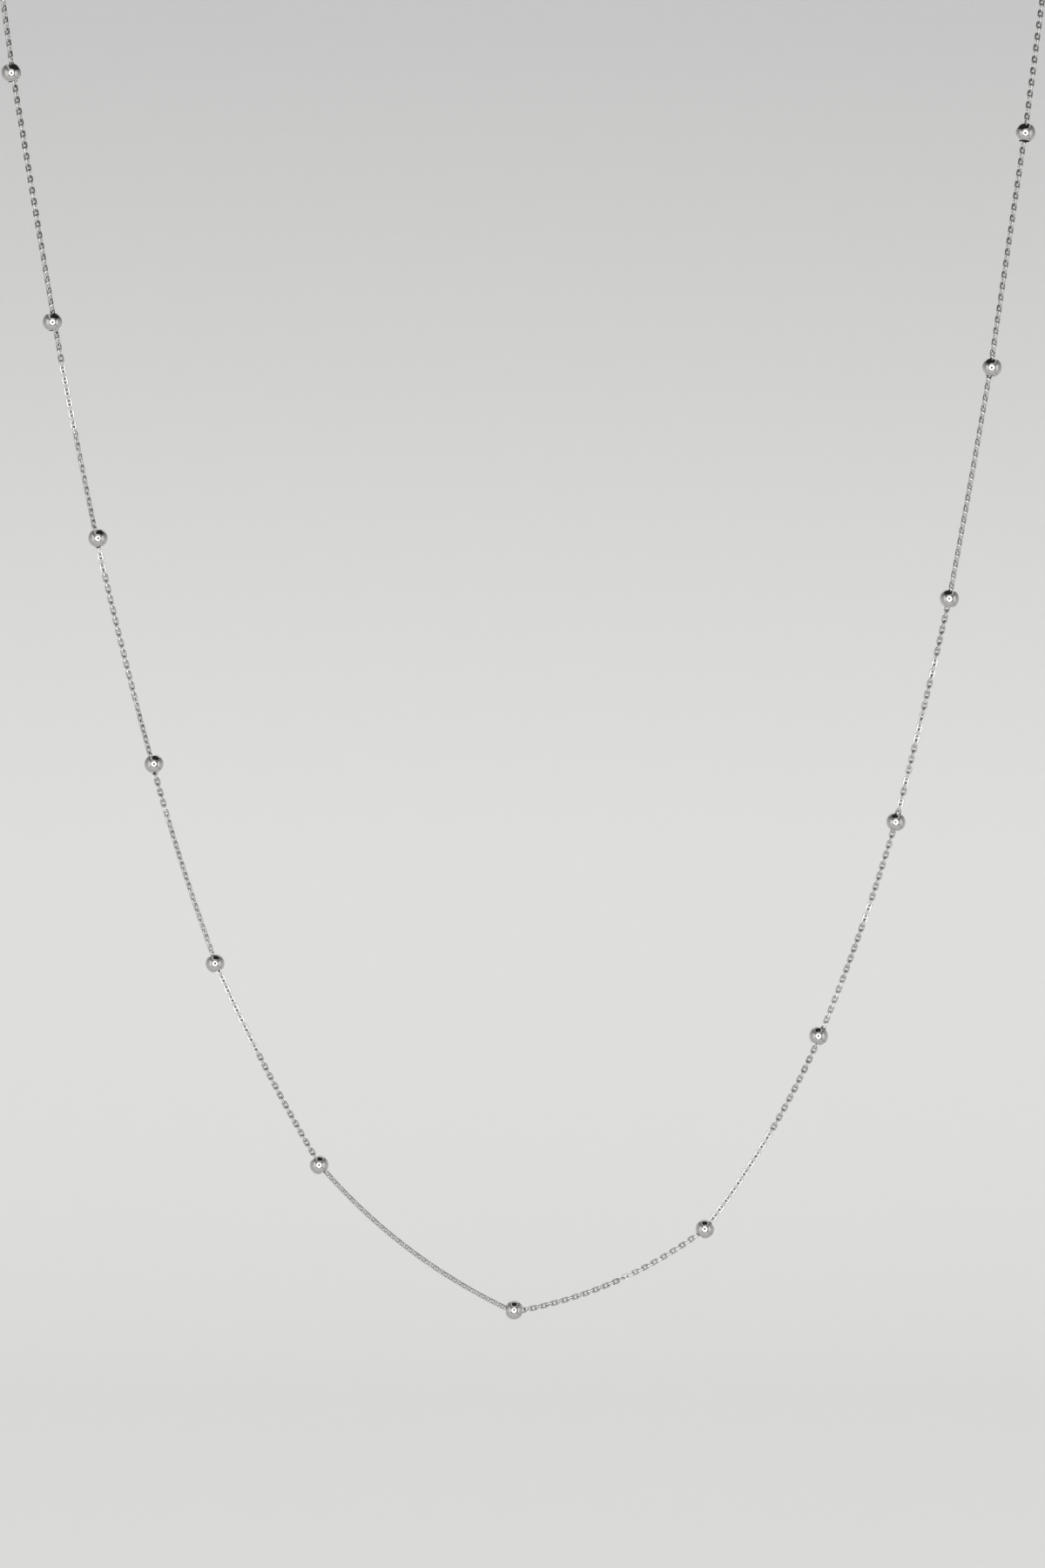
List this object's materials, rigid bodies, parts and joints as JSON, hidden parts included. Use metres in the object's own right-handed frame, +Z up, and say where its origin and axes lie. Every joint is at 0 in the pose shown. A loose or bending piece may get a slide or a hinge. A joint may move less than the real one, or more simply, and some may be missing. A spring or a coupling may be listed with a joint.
{
  "type": "station ball chain necklace",
  "caption": "Fine silver cable chain necklace with polished drilled balls at even stations and a spring ring clasp at the nape, shown as it hangs when worn.",
  "frame": {"origin": "middle of the clasp, where the necklace sits on the nape", "axes": "+Z up as worn, +Y to the wearer's back, +X to the wearer's left"},
  "size_m": [0.1357, 0.0859, 0.2041],
  "materials": {
    "chain_silver": "drawn sterling silver wire links, tumbled bright",
    "ball_silver": "mirror polished sterling silver",
    "clasp_silver": "polished sterling silver"
  },
  "bodies": {
    "root": {"chain_left": "chain_silver", "chain_right": "chain_silver", "clasp": "clasp_silver", "jump_ring": "clasp_silver", "catch_ring": "clasp_silver", "ball_01": "ball_silver", "ball_02": "ball_silver", "ball_03": "ball_silver", "ball_04": "ball_silver", "ball_05": "ball_silver", "ball_06": "ball_silver", "ball_07": "ball_silver", "ball_08": "ball_silver", "ball_09": "ball_silver", "ball_10": "ball_silver", "ball_11": "ball_silver", "ball_12": "ball_silver", "ball_13": "ball_silver", "ball_14": "ball_silver", "ball_15": "ball_silver", "ball_16": "ball_silver", "ball_17": "ball_silver", "ball_18": "ball_silver", "ball_19": "ball_silver", "ball_20": "ball_silver", "ball_21": "ball_silver"}
  },
  "joints": []
}
